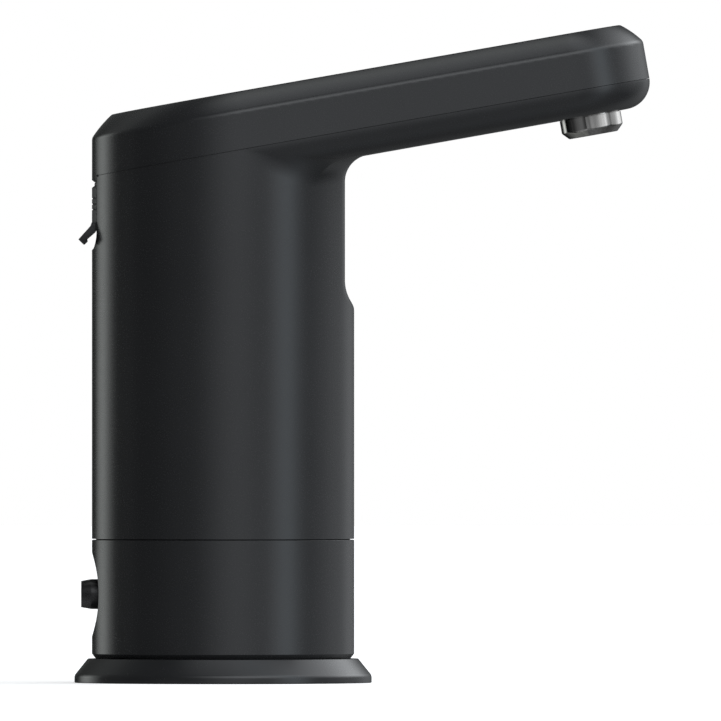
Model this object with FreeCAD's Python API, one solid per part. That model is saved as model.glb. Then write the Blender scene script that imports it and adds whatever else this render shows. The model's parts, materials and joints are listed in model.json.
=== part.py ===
import FreeCAD, Part
import math
import os

os.makedirs("parts", exist_ok=True)
V = FreeCAD.Vector

# ---------------------------------------------------------------- driving dimensions (mm)
body_r = 39.0            # radius of the round body
wall = 2.5               # wall of the plastic shells
tilt_deg = 10.0          # rise of the spout, cover and seam
seam_z0 = 157.7          # seam plane height on the body axis
cover_w = 16.9           # seam to top face, square to the seam
lower_w = 8.1            # seam to spout underside, square to the seam
front_x_180 = 126.8      # spout tip at height 180
front_lean = 0.1763      # the tip leans back with height
side_sin = (39.0 - 26.3) / 100.5   # half angle of the tapering spout sides
edge_in = 5.6            # bevel round the top
flat_x = 36.26           # flat face under the spout root
flat_bottom_z = 119.8
flat_run_r = 12.2        # run-out of the flat into the round front
root_r = 8.0             # fillet at the spout root
under_r = 8.0            # rounded lower edge of the spout

base_r = 44.2            # base plate, at the table
base_top_r = 40.2
base_h = 7.23
case_z0 = 7.3            # lower case
case_z1 = 42.55
body_z0 = 42.85          # upper body

recess_r = 12.3          # hose recess
recess_z = 26.3
spigot_z = 26.4
spigot_r = 4.475
spigot_tip_x = -42.2

pocket_half = 10.75      # charge port pocket
pocket_z0 = 128.6
pocket_corner = 6.5
pocket_floor_r = 37.65   # shallow floor, concentric with the body
flap_z0 = 136.7
flap_z1 = 147.25
hinge_x = -38.15
hinge_z = 148.9

aer_u = 109.4            # aerator axis, along the spout
aer_r = 9.1
aer_w0 = -14.0

button_u = 3.0
button_r = 13.9

motor_x, motor_y = 12.0, -6.6
idler_y = 6.6
gear_teeth = 12
gear_module = 1.1
tube_x = 29.0
cell_x = -14.5

# ---------------------------------------------------------------- helpers
SEAM = FreeCAD.Placement(V(0, 0, seam_z0), FreeCAD.Rotation(V(0, 1, 0), -tilt_deg))
side_cos = math.sqrt(1.0 - side_sin ** 2)


def cyl(r, z0, z1, x=0.0, y=0.0):
    return Part.makeCylinder(r, z1 - z0, V(x, y, z0))


def ring(r0, r1, z0, z1, x=0.0, y=0.0):
    return cyl(r1, z0, z1, x, y).cut(cyl(r0, z0 - 1, z1 + 1, x, y))


def xcyl(r, x0, x1, y, z):
    return Part.makeCylinder(r, x1 - x0, V(x0, y, z), V(1, 0, 0))


def box(x0, x1, y0, y1, z0, z1):
    return Part.makeBox(x1 - x0, y1 - y0, z1 - z0, V(x0, y0, z0))


def tilted(shape):
    s = shape.copy()
    s.Placement = SEAM.multiply(s.Placement)
    return s


def slab(w0, w1):
    return tilted(box(-200, 250, -120, 120, w0, w1))


def lathe(points, axis=V(0, 0, 1), at=V(0, 0, 0)):
    """Revolve a closed (radius, height) outline about an axis."""
    pts = [V(r, 0, h) for r, h in points]
    face = Part.Face(Part.makePolygon(pts + [pts[0]]))
    solid = face.revolve(V(0, 0, 0), V(0, 0, 1), 360)
    rot = FreeCAD.Rotation(V(0, 0, 1), axis)
    solid.Placement = FreeCAD.Placement(at, rot)
    return solid


def union(shapes):
    s = shapes[0].fuse(shapes[1:]) if len(shapes) > 1 else shapes[0]
    s = s.removeSplitter()
    return s


def group(shapes):
    return Part.makeCompound(shapes)


def outline(z, off=0.0):
    """Plan outline of body and spout at a height: big arc, two flat sides, end arc."""
    tip = front_x_180 - front_lean * (z - 180.0)
    c = (tip - body_r) / (1.0 - side_sin)
    r = body_r - c * side_sin
    big, end = body_r + off, r + off
    a, b = V(big * side_sin, big * side_cos, z), V(c + end * side_sin, end * side_cos, z)
    a2, b2 = V(a.x, -a.y, z), V(b.x, -b.y, z)
    return Part.Wire([Part.Arc(a, V(-big, 0, z), a2).toShape(),
                      Part.LineSegment(a2, b2).toShape(),
                      Part.Arc(b2, V(c + end, 0, z), b).toShape(),
                      Part.LineSegment(b, a).toShape()])


def envelope(off=0.0):
    return Part.makeLoft([outline(100.0, off), outline(230.0, off)], True, True)


def edges_in_plane(shape, w, tol=0.05):
    inv = SEAM.inverse()
    return [e for e in shape.Edges
            if all(abs(inv.multVec(p).z - w) < tol for p in e.discretize(5))]


def front_cut(grow):
    """Everything in front of the flat face and its curved run-out."""
    x = flat_x - grow
    r = flat_run_r + grow
    cx = flat_x + flat_run_r
    a1, a2 = math.radians(20), math.radians(40)
    p1 = V(cx - r * math.cos(a1), 0, flat_bottom_z - r * math.sin(a1))
    p2 = V(cx - r * math.cos(a2), 0, flat_bottom_z - r * math.sin(a2))
    z_top = 230.0
    face = Part.Face(Part.Wire([
        Part.LineSegment(V(x, 0, z_top), V(x, 0, flat_bottom_z)).toShape(),
        Part.Arc(V(x, 0, flat_bottom_z), p1, p2).toShape(),
        Part.LineSegment(p2, V(90, 0, p2.z)).toShape(),
        Part.LineSegment(V(90, 0, p2.z), V(90, 0, z_top)).toShape(),
        Part.LineSegment(V(90, 0, z_top), V(x, 0, z_top)).toShape()]))
    s = face.extrude(V(0, 120, 0))
    s.translate(V(0, -60, 0))
    return s


def tongue(half, z0, z1, corner, x0, x1):
    """Prism along X whose outline has two rounded lower corners."""
    k = corner * math.sqrt(0.5)
    w = Part.Wire([
        Part.LineSegment(V(x0, -half, z1), V(x0, -half, z0 + corner)).toShape(),
        Part.Arc(V(x0, -half, z0 + corner), V(x0, -half + corner - k, z0 + corner - k),
                 V(x0, -half + corner, z0)).toShape(),
        Part.LineSegment(V(x0, -half + corner, z0), V(x0, half - corner, z0)).toShape(),
        Part.Arc(V(x0, half - corner, z0), V(x0, half - corner + k, z0 + corner - k),
                 V(x0, half, z0 + corner)).toShape(),
        Part.LineSegment(V(x0, half, z0 + corner), V(x0, half, z1)).toShape(),
        Part.LineSegment(V(x0, half, z1), V(x0, -half, z1)).toShape()])
    return Part.Face(w).extrude(V(x1 - x0, 0, 0))


def stadium(wy, hz, zc, x0, x1):
    r = hz / 2.0
    s = wy / 2.0 - r
    return union([xcyl(r, x0, x1, -s, zc), xcyl(r, x0, x1, s, zc),
                  box(x0, x1, -s, s, zc - r, zc + r)])


def polar(r, deg):
    a = math.radians(deg)
    return r * math.cos(a), r * math.sin(a)


posts = [polar(30.5, a) for a in (50, 130, 230, 310)]

parts = {}

# ---------------------------------------------------------------- base
base = lathe([(0, 0.06), (base_r - 0.15, 0.06), (base_r, 0.2), (base_r, 1.9), (43.9, 2.35), (43.3, 2.95),
              (base_top_r, base_h - 0.12), (base_top_r - 0.25, base_h), (34.6, base_h),
              (34.6, 3.8), (0, 3.8)])
base = base.cut(cyl(42.0, -1, 1.55)).cut(cyl(5.0, 0, 10))
parts["base_plate"] = base
parts["foot_pad"] = cyl(41.8, 0.0, 1.5)
parts["swivel_plate"] = union([cyl(34.0, 3.95, 6.35), cyl(4.95, 1.8, 3.95)])

# ---------------------------------------------------------------- lower case
case = lathe([(36.5, case_z0), (37.9, case_z0), (body_r, 8.7), (body_r, case_z1), (37.85, case_z1),
              (37.85, 41.6), (36.3, 41.6), (36.3, 47.0), (34.4, 47.0), (34.4, 38.5), (36.5, 36.4)])
cup = xcyl(recess_r + 2.0, -37.2, -31.0, 0, recess_z).common(cyl(38.0, 0, 60))
post_solids = []
for px, py in posts:
    a = math.degrees(math.atan2(py, px))
    rib = box(30.5, 37.0, -1.2, 1.2, 11.5, 33.2)
    rib.rotate(V(0, 0, 0), V(0, 0, 1), a)
    post_solids += [cyl(3.5, 10.6, 33.2, px, py), rib]
case = case.fuse([cup] + post_solids)
case = case.cut(xcyl(recess_r, -60, -33.0, 0, recess_z))
case = case.cut(xcyl(4.6, -40, -28, 0, spigot_z))
for px, py in posts:
    case = case.cut(cyl(1.2, 9, 22, px, py)).cut(cyl(1.2, 24, 34, px, py))
parts["lower_case"] = case.removeSplitter()

cover = union([cyl(36.3, 7.6, 10.6), cyl(33.9, 6.6, 7.6)])
cover = cover.cut(ring(17.9, 26.1, 7.5, 12))
for px, py in posts:
    cover = cover.cut(cyl(1.5, 0, 20, px, py)).cut(cyl(2.8, 0, 8.6, px, py))
parts["bottom_cover"] = cover
parts["magnet_ring"] = ring(18.0, 26.0, 7.5, 10.5)
parts["cover_screws"] = group([union([cyl(2.6, 6.8, 8.6, px, py), cyl(1.15, 8.6, 20, px, py)])
                               for px, py in posts])
parts["seam_gasket"] = ring(36.5, 37.8, 41.65, 42.8)

# ---------------------------------------------------------------- inlet
sp = lathe([(2.6, spigot_tip_x), (3.92, spigot_tip_x), (4.45, -39.2), (spigot_r, -38.8),
            (spigot_r, -35.1), (4.15, -35.1), (4.15, -30.0), (7.9, -30.0), (7.9, -28.2), (2.6, -28.2), (2.1, -27.4), (2.1, -20.0),
            (1.3, -20.0), (1.3, -31.0), (2.6, -32.0)], V(0, 0, 1))
sp.rotate(V(0, 0, 0), V(0, 1, 0), 90)
sp.translate(V(0, 0, spigot_z))
parts["inlet_spigot"] = sp
hexa = Part.Face(Part.makePolygon([V(-35.0, 7.4 * math.cos(math.radians(60 * i)),
                                     spigot_z + 7.4 * math.sin(math.radians(60 * i)))
                                   for i in range(7)])).extrude(V(2.0, 0, 0))
parts["inlet_nut"] = hexa.cut(xcyl(4.55, -40, -30, 0, spigot_z))
parts["inlet_seal"] = xcyl(7.8, -30.98, -30.02, 0, spigot_z).cut(xcyl(4.55, -40, -20, 0, spigot_z))
mesh = xcyl(2.55, -36.0, -35.0, 0, spigot_z)
for ring_r, n in ((0.0, 1), (1.05, 6), (1.95, 10)):
    for i in range(n):
        a = 2 * math.pi * i / n
        mesh = mesh.cut(xcyl(0.3, -40, -30, ring_r * math.cos(a), spigot_z + ring_r * math.sin(a)))
parts["inlet_strainer"] = mesh
parts["suction_tube"] = xcyl(3.4, -27.3, -1.1, 0, spigot_z).cut(xcyl(2.15, -30, 5, 0, spigot_z)).cut(
    lathe([(0, -28.3), (2.7, -28.3), (2.2, -27.2), (0, -27.2)]))

# ---------------------------------------------------------------- pump
cav_r = 7.65
block = box(1.0, 23.0, -17.25, 17.25, 16.0, 30.0)
block = block.makeFillet(3.0, [e for e in block.Edges if abs(e.Vertexes[0].Z - e.Vertexes[1].Z) > 10])
pump = union([block, box(22.0, 33.0, -4.2, 4.2, 20.0, 29.5), cyl(3.4, 29.0, 31.6, tube_x, 0),
              cyl(2.0, 29.0, 42.0, tube_x, 0), xcyl(3.2, -1.0, 2.0, 0, spigot_z),
              xcyl(2.1, -7.0, 2.0, 0, spigot_z)])
for gy in (motor_y, idler_y):
    pump = pump.cut(cyl(cav_r, 20.0, 31.0 if gy else 31.0, motor_x, gy).common(
        box(0, 24, -20, 20, 19, 30.5)))
pump = pump.cut(xcyl(1.3, -8, 9.0, 0, spigot_z)).cut(xcyl(1.3, 15.0, tube_x, 0, 24.0))
pump = pump.cut(cyl(1.3, 23.0, 43.0, tube_x, 0))
pump = pump.cut(cyl(1.55, 18.2, 21, motor_x, motor_y)).cut(cyl(1.52, 17.0, 21, motor_x, idler_y))
pump_bolts = [(motor_x + sx * 8.6, sy * 14.9) for sx in (-1, 1) for sy in (-1, 1)]
for bx, by in pump_bolts:
    pump = pump.cut(cyl(1.3, 10, 31, bx, by))
parts["pump_body"] = pump

pcover = box(1.0, 23.0, -17.25, 17.25, 30.0, 33.2)
pcover = pcover.makeFillet(3.0, [e for e in pcover.Edges if abs(e.Vertexes[0].Z - e.Vertexes[1].Z) > 3])
pcover = pcover.cut(cyl(1.6, 29, 34, motor_x, motor_y)).cut(cyl(3.55, 29.9, 32.6, motor_x, motor_y))
pcover = pcover.cut(cyl(1.52, 29, 32.2, motor_x, idler_y))
for bx, by in pump_bolts:
    pcover = pcover.cut(cyl(1.3, 10, 40, bx, by))
parts["pump_cover"] = pcover
parts["shaft_seal"] = ring(1.56, 3.5, 30.15, 32.55, motor_x, motor_y)
parts["idler_pin"] = cyl(1.5, 17.05, 32.1, motor_x, idler_y)
parts["pump_screws"] = group([union([cyl(2.3, 14.2, 16.0, bx, by), cyl(1.2, 16.0, 35.4, bx, by)])
                              for bx, by in pump_bolts])


def gear(cx, cy, phase_deg, bore, z0, z1):
    """Involute spur gear with backlash."""
    rp = gear_module * gear_teeth / 2.0
    pa = math.radians(25.0)
    rb, ra, rf = rp * math.cos(pa), rp + 0.9, rp - 1.2
    half = (math.pi * gear_module / 2.0 - 0.17) / 2.0 / rp
    inv = lambda t: math.tan(t) - t
    edges = []
    pitch = 2 * math.pi / gear_teeth
    at = lambda r, t: V(cx + r * math.cos(t), cy + r * math.sin(t), z0)
    prev = None
    first = None
    for i in range(gear_teeth):
        c = math.radians(phase_deg) + i * pitch
        rs = [rb + (ra - rb) * k / 6.0 for k in range(7)]
        ang = [half + inv(pa) - inv(math.acos(min(1.0, rb / r))) for r in rs]
        up = [at(r, c - t) for r, t in zip(rs, ang)]
        dn = [at(r, c + t) for r, t in zip(reversed(rs), reversed(ang))]
        root_a, root_b = at(rf, c - ang[0]), at(rf, c + ang[0])
        if prev is not None:
            edges.append(Part.Arc(prev[0], at(rf, (prev[1] + c - ang[0]) / 2.0), root_a).toShape())
        else:
            first = (root_a, c - ang[0])
        edges.append(Part.LineSegment(root_a, up[0]).toShape())
        s1 = Part.BSplineCurve(); s1.interpolate(up); edges.append(s1.toShape())
        edges.append(Part.Arc(up[-1], at(ra, c), dn[0]).toShape())
        s2 = Part.BSplineCurve(); s2.interpolate(dn); edges.append(s2.toShape())
        edges.append(Part.LineSegment(dn[-1], root_b).toShape())
        prev = (root_b, c + ang[0])
    mid = (prev[1] + first[1] + 2 * math.pi) / 2.0
    edges.append(Part.Arc(prev[0], at(rf, mid), first[0]).toShape())
    solid = Part.Face(Part.Wire(edges)).extrude(V(0, 0, z1 - z0))
    return solid.cut(cyl(bore, z0 - 1, z1 + 1, cx, cy))


parts["drive_gear"] = gear(motor_x, motor_y, 90.0, 1.52, 20.1, 29.9)
parts["idler_gear"] = gear(motor_x, idler_y, 270.0 + 15.0, 1.55, 20.1, 29.9)

# ---------------------------------------------------------------- motor
plate = cyl(34.0, 33.2, 35.7).cut(box(-40, -27.9, -40, 40, 30, 40))
plate = plate.cut(cyl(5.1, 30, 40, motor_x, motor_y)).cut(cyl(4.0, 30, 40, tube_x, 0))
for bx, by in pump_bolts:
    plate = plate.cut(cyl(1.22, 30, 40, bx, by))
for px, py in posts:
    plate = plate.cut(cyl(1.5, 30, 40, px, py))
parts["motor_plate"] = plate
parts["plate_screws"] = group([union([cyl(2.4, 35.7, 37.3, px, py), cyl(1.15, 24.5, 35.7, px, py)])
                               for px, py in posts])
can = cyl(13.85, 35.7, 68.5, motor_x, motor_y).cut(cyl(12.65, 37.2, 70, motor_x, motor_y))
can = can.fuse(cyl(5.0, 33.9, 35.7, motor_x, motor_y)).cut(cyl(1.56, 30, 40, motor_x, motor_y))
parts["motor_can"] = can.removeSplitter()
endc = union([cyl(12.6, 66.3, 68.5, motor_x, motor_y), cyl(4.5, 68.5, 70.6, motor_x, motor_y),
              box(motor_x - 8.5, motor_x - 7.7, motor_y - 1.5, motor_y + 1.5, 68.5, 71.5),
              box(motor_x + 7.7, motor_x + 8.5, motor_y - 1.5, motor_y + 1.5, 68.5, 71.5)])
parts["motor_end_cap"] = endc.cut(cyl(1.56, 60, 75, motor_x, motor_y))
wedge = ring(11.0, 12.6, 42.0, 62.0, motor_x, motor_y)
parts["stator_magnets"] = group([wedge.common(box(motor_x - 12, motor_x + 12, motor_y + s0, motor_y + s1, 40, 64))
                                 for s0, s1 in ((-14, -3.5), (3.5, 14))])
parts["motor_shaft"] = cyl(1.5, 18.4, 70.2, motor_x, motor_y)
arm = cyl(10.4, 43.0, 61.0, motor_x, motor_y)
for i in range(5):
    slot = box(5.0, 12.0, -0.9, 0.9, 42, 62)
    slot.rotate(V(0, 0, 0), V(0, 0, 1), 72 * i)
    slot.translate(V(motor_x, motor_y, 0))
    pocket = cyl(1.9, 42, 62, *[a + b for a, b in zip((motor_x, motor_y), polar(7.2, 72 * i))])
    arm = arm.cut(slot).cut(pocket)
arm = arm.fuse(cyl(3.6, 61.0, 65.8, motor_x, motor_y)).fuse(cyl(2.6, 38.0, 43.0, motor_x, motor_y))
parts["armature"] = arm.cut(cyl(1.52, 30, 80, motor_x, motor_y)).removeSplitter()

# ---------------------------------------------------------------- cell
cradle = union([cyl(10.9, 35.7, 38.9, cell_x, 0), ring(9.35, 10.9, 38.0, 84.0, cell_x, 0)])
cradle = cradle.cut(box(cell_x + 4, cell_x + 14, -8, 8, 44, 90))
cradle = cradle.cut(box(cell_x - 14, cell_x - 4, -6, 6, 50, 76))
parts["battery_cradle"] = cradle
parts["battery_cell"] = union([cyl(9.2, 39.0, 103.4, cell_x, 0), cyl(8.0, 103.4, 104.0, cell_x, 0),
                               cyl(2.9, 104.0, 105.0, cell_x, 0)])

# ---------------------------------------------------------------- upper body with the lower half of the spout
spout = envelope(-0.05).common(slab(-lower_w, 6.0))
spout = spout.makeFillet(under_r, edges_in_plane(spout, -lower_w))
trunk = cyl(body_r, body_z0, 230.0).cut(slab(6.0, 200.0)).cut(front_cut(0.0))
outer = trunk.fuse(spout).removeSplitter()
outer = outer.Solids[0] if outer.ShapeType != "Solid" else outer
inv = SEAM.inverse()
root = []
for e in outer.Edges:
    p = e.discretize(9)
    w = [inv.multVec(q).z for q in p]
    rr = [math.hypot(q.x, q.y) for q in p]
    on_floor = all(abs(a + lower_w) < 0.02 for a in w)
    on_trunk = all(abs(a - body_r) < 0.02 for a in rr)
    if on_floor and (on_trunk or all(abs(q.x - flat_x) < 0.02 for q in p)):
        root.append(e)
    elif on_trunk and all(-8.3 < a < 0.2 for a in w) and max(w) - min(w) > 3 and p[4].x > 0:
        root.append(e)
outer = outer.makeFillet(root_r, root)
outer = outer.cut(slab(0.0, 60.0))

hollow_spout = envelope(-wall).common(slab(-(lower_w - wall), 20.0))
hollow_trunk = cyl(body_r - wall, body_z0 - 1, 230.0).cut(front_cut(wall))
shell = outer.cut(hollow_trunk).cut(hollow_spout)

# port pocket, its backing wall and the two board posts
backing = box(-37.6, -32.2, -13.7, 13.7, 126.7, 152.2).common(cyl(37.4, 120, 160))
backing = backing.cut(slab(-0.6, 20.0))
board_posts = [xcyl(2.2, -33.0, -28.6, y, 131.0) for y in (-9.0, 9.0)]
shell = shell.fuse([backing] + board_posts)
# the floor follows the body, then sweeps out to the surface at the bottom as a finger scoop
sweep = [(pocket_floor_r + 13.6 - math.sqrt(13.6 ** 2 - (134.0 - z) ** 2), z)
         for z in (134.0, 133.2, 132.4, 131.6, 130.8, 130.0, 129.3)]
pocket = lathe([(pocket_floor_r, 160.0)] + sweep + [(39.1, pocket_z0), (46.0, pocket_z0), (46.0, 160.0)])
pocket = pocket.common(tongue(pocket_half, pocket_z0 - 0.1, 160.0, pocket_corner, -60.0, -20.0))
shell = shell.cut(pocket)
shell = shell.cut(stadium(12.6, 6.8, 142.2, -60.0, -34.0)).cut(stadium(9.5, 3.8, 142.2, -60.0, -30.0))
for y in (-9.0, 9.0):
    shell = shell.cut(xcyl(0.9, -32.6, -20.0, y, 131.0))
# slot for the tail of the flap strip
shell = shell.cut(box(-40.0, -30.0, -9.05, 9.05, 149.35, 150.45))
# aerator hole and screw holes in the spout floor
shell = shell.cut(tilted(cyl(9.0, -12.0, 0.0, aer_u, 0.0)))
for sy in (-1, 1):
    shell = shell.cut(tilted(cyl(0.85, -7.4, -3.0, aer_u, sy * 12.0)))
shell = shell.removeSplitter()
parts["body_shell"] = shell

# ---------------------------------------------------------------- top cover
cov = envelope(0.0).common(slab(0.15, cover_w))
cov = cov.makeChamfer(edge_in, edges_in_plane(cov, cover_w))
cov = cov.makeFillet(1.6, edges_in_plane(cov, cover_w) + edges_in_plane(cov, cover_w - edge_in))
hollow = envelope(-wall).common(slab(-2.0, cover_w - wall))
hollow = hollow.makeChamfer(4.6, edges_in_plane(hollow, cover_w - wall))
cov = cov.cut(hollow)
lip = envelope(-wall - 0.25).common(slab(-2.4, 2.6)).cut(envelope(-wall - 1.75))
keep = tilted(box(-32.0, 250, -60, 60, -3, 3))
lip = lip.common(keep)
bridge = envelope(-wall + 0.2).common(slab(1.0, 2.6)).cut(envelope(-wall - 1.0)).common(keep)
cov = cov.fuse([lip, bridge])
cap_posts = [(-22.0, 13.5), (-22.0, -13.5), (15.5, 14.6), (15.5, -14.6)]
cov = cov.fuse([tilted(cyl(2.3, 5.6, cover_w - wall + 0.3, u, y)) for u, y in cap_posts])
cov = cov.cut(tilted(cyl(button_r + 0.3, 10.0, 20.0, button_u, 0.0)))
for u, y in cap_posts:
    cov = cov.cut(tilted(cyl(1.0, 5.0, 11.0, u, y)))
parts["top_cover"] = cov.removeSplitter()
gas = envelope(-0.9).common(slab(0.0, 0.15)).cut(envelope(-wall + 0.3))
parts["cover_gasket"] = gas.cut(tongue(pocket_half + 0.3, 140.0, 156.0, 1.0, -60.0, -30.0))

# ---------------------------------------------------------------- push button
btn = union([cyl(button_r, 13.0, cover_w - 0.15, button_u, 0.0), cyl(15.4, 12.9, 14.1, button_u, 0.0),
             cyl(2.0, 8.2, 13.2, button_u, 0.0)])
dish_r = 120.0
btn = btn.cut(Part.makeSphere(dish_r, V(button_u, 0, cover_w - 0.15 - 0.55 + dish_r)))
parts["push_button"] = tilted(btn)

# ---------------------------------------------------------------- boards
board = box(-26.0, 18.6, -17.4, 17.4, 4.0, 5.6)
for u, y in cap_posts:
    board = board.cut(cyl(1.1, 0, 10, u, y))
chips = [box(-14, -7, -4, 3, 5.6, 6.6), box(-20, -15, 5, 9, 5.6, 6.4), box(8, 14, -9, -4, 5.6, 6.5)]
parts["control_board"] = tilted(union([board] + chips))
parts["board_screws"] = group([tilted(union([cyl(2.1, 2.7, 4.0, u, y), cyl(0.95, 4.0, 10.5, u, y)]))
                               for u, y in cap_posts])
parts["button_switch"] = tilted(union([box(button_u - 3, button_u + 3, -3, 3, 5.6, 6.5),
                                       cyl(1.7, 6.5, 6.9, button_u, 0.0)]))
cb = box(-28.6, -27.0, -13.0, 13.0, 127.0, 150.0)
for y in (-9.0, 9.0):
    cb = cb.cut(xcyl(1.0, -40, -20, y, 131.0))
parts["charge_board"] = union([cb, box(-27.0, -25.8, -4, 2, 138, 143)])
parts["charge_board_screws"] = group([union([xcyl(1.9, -27.0, -25.7, y, 131.0), xcyl(0.85, -32.3, -27.0, y, 131.0)])
                                      for y in (-9.0, 9.0)])
sock = stadium(8.94, 3.26, 142.2, -35.3, -28.6).cut(stadium(8.3, 2.6, 142.2, -40.0, -29.4))
sock = sock.fuse(box(-34.6, -29.0, -3.2, 3.2, 141.85, 142.55))
parts["charge_socket"] = sock.removeSplitter()

# ---------------------------------------------------------------- port flap
flap_half = pocket_half - 0.25
strip = cyl(body_r, 120, 156).cut(cyl(37.75, 110, 160)).common(box(-45, -30, -flap_half, flap_half, 120, 156))
flap = strip.common(box(-45, -30, -12, 12, flap_z0, hinge_z - 0.05))
# hinge groove: a thin web between two bevelled lips
flap = flap.cut(lathe([(38.24, 152.0), (38.24, flap_z1 + 0.52), (39.0, flap_z1), (40.0, flap_z1), (40.0, 152.0)]))
for z in (144.05, 142.36, 140.75):
    flap = flap.cut(ring(38.85, 45.0, z - 0.2, z + 0.2))
tab = Part.Face(Part.makePolygon([V(-39.0, 0, 136.9), V(-39.0, 0, 136.45), V(-39.2, 0, 136.1), V(-42.94, 0, 131.76),
                                  V(-41.39, 0, 130.25), V(-40.21, 0, 131.39), V(-40.4, 0, 131.86), V(-37.85, 0, 134.05),
                                  V(-37.77, 0, 134.6), V(-37.77, 0, 136.9), V(-39.0, 0, 136.9)])).extrude(V(0, 30, 0))
tab.translate(V(0, -15, 0))
tab = tab.common(tongue(9.3, 130.1, 140.0, 3.6, -60.0, -30.0))
tab_root = strip.common(box(-45, -30, -12, 12, 134.4, flap_z0 + 0.1))
rib = stadium(11.9, 6.1, 142.2, -37.9, -36.3).cut(stadium(9.9, 4.1, 142.2, -40.0, -30.0))
flap = flap.fuse([tab, tab_root, rib]).removeSplitter()
parts["port_flap"] = flap
anchor = strip.common(box(-45, -30, -12, 12, hinge_z + 0.2, 150.55))
anchor = anchor.cut(lathe([(38.24, 148.0), (40.0, 148.0), (40.0, 149.52), (39.0, 149.52), (38.24, 148.92)]))
anchor = anchor.fuse(box(-37.4, -31.4, -8.9, 8.9, 149.4, 150.4)).removeSplitter()
parts["flap_anchor"] = anchor

# ---------------------------------------------------------------- outlet
fit = union([cyl(10.4, -5.55, 6.6, aer_u, 0.0), ring(9.0, 14.6, -5.55, -3.6, aer_u, 0.0),
             Part.makeCylinder(2.0, 20.0, V(aer_u - 19.5, 0, 3.0), V(1, 0, 0)),
             Part.makeCylinder(3.3, 10.0, V(aer_u - 12.0, 0, 3.0), V(1, 0, 0))])
fit = fit.cut(cyl(7.75, -10.0, -0.5, aer_u, 0.0)).cut(cyl(2.2, -1.0, 4.9, aer_u, 0.0))
fit = fit.cut(Part.makeCylinder(1.3, 22.0, V(aer_u - 22.0, 0, 3.0), V(1, 0, 0)))
for sy in (-1, 1):
    fit = fit.cut(cyl(1.1, -8.0, 0.0, aer_u, sy * 12.0))
parts["outlet_fitting"] = tilted(fit)
parts["outlet_screws"] = group([tilted(union([cyl(1.55, -3.6, -2.4, aer_u, sy * 12.0),
                                              cyl(0.8, -7.3, -3.6, aer_u, sy * 12.0)])) for sy in (-1, 1)])
corner_r, mid_r = 9.32, 8.99
face_edges = []
for k in range(8):
    a0, a1, am = [math.radians(45.0 * k + a) for a in (-15.0, 30.0, 7.5)]
    face_edges.append(Part.Arc(V(corner_r * math.sin(a0), -corner_r * math.cos(a0), aer_w0),
                               V(mid_r * math.sin(am), -mid_r * math.cos(am), aer_w0),
                               V(corner_r * math.sin(a1), -corner_r * math.cos(a1), aer_w0)).toShape())
barrel = Part.Face(Part.Wire(face_edges)).extrude(V(0, 0, -8.25 - aer_w0))
barrel = barrel.common(Part.makeCone(7.26, 15.26, 8.0, V(0, 0, aer_w0)))
barrel = barrel.fuse([cyl(8.8, -9.0, -6.4), cyl(7.65, -7.0, -1.6)])
aer = barrel.cut(lathe([(0, aer_w0 - 1), (6.2, aer_w0 - 1), (6.2, -13.3), (6.7, -12.9), (6.7, -1.0), (0, -1.0)]))
aer = aer.removeSplitter()
aer.translate(V(aer_u, 0, 0))
parts["aerator_body"] = tilted(aer)
ins = cyl(6.65, -12.8, -7.0, aer_u, 0.0)
for k in range(-5, 6):
    for j in range(-5, 6):
        hx, hy = k * 1.15, j * 1.15
        if math.hypot(hx, hy) < 5.6:
            ins = ins.cut(Part.makeBox(0.85, 0.85, 12, V(aer_u + hx - 0.425, hy - 0.425, -16)))
parts["aerator_insert"] = tilted(ins)
parts["aerator_seal"] = tilted(ring(5.6, 7.6, -1.55, -0.55, aer_u, 0.0))

# delivery tube: straight up, one bend, then along the spout
rise = math.radians(tilt_deg)
w_tube = 3.0
corner = V(tube_x, 0, seam_z0 + math.tan(rise) * tube_x + w_tube / math.cos(rise))
bend_r = 14.0
tlen = bend_r * math.tan(math.radians(90.0 - tilt_deg) / 2.0)
d = V(math.cos(rise), 0, math.sin(rise))
p0 = V(tube_x, 0, 32.4)
p1 = V(tube_x, 0, corner.z - tlen)
p2 = corner + d * tlen
p3 = SEAM.multVec(V(aer_u - 12.3, 0, w_tube))
mid_c = V(tube_x + bend_r, 0, p1.z)
to_corner = (corner - mid_c).normalize()
pm = mid_c + to_corner * bend_r
path = Part.Wire([Part.LineSegment(p0, p1).toShape(), Part.Arc(p1, pm, p2).toShape(),
                  Part.LineSegment(p2, p3).toShape()])


def pipe(r):
    prof = Part.Wire([Part.Circle(p0, V(0, 0, 1), r).toShape()])
    return path.makePipeShell([prof], True, False)


parts["delivery_tube"] = pipe(3.2).cut(pipe(2.05))


def wire_run(points, r):
    """A wire as straight lengths with a ball at each bend."""
    pts = [V(*p) for p in points]
    pieces = []
    for a, b in zip(pts, pts[1:]):
        pieces.append(Part.makeCylinder(r, (b - a).Length, a, b - a))
    for p in pts[1:-1]:
        pieces.append(Part.makeSphere(r, p))
    return union(pieces)


parts["wire_motor"] = group([wire_run([(motor_x - 8.1, motor_y - 2.6, 69.0), (motor_x - 9.0, motor_y - 6, 90),
                                       (0.0, -14.5, 125), (-2.0, -12.0, 161.0)], 0.7),
                             wire_run([(motor_x + 8.1, motor_y - 2.6, 69.0), (motor_x + 6.0, motor_y - 8, 90),
                                       (6.0, -15.5, 125), (4.0, -13.0, 162.0)], 0.7)])
parts["wire_battery"] = group([wire_run([(cell_x, 3.9, 105.0), (cell_x - 3, 4.4, 114), (-22.0, 4.2, 125), (-26.1, 3.0, 136)], 0.7),
                               wire_run([(cell_x, -4.9, 105.0), (cell_x - 3, -4.8, 114), (-22.0, -4.6, 125), (-26.1, -3.0, 136)], 0.7)])

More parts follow.
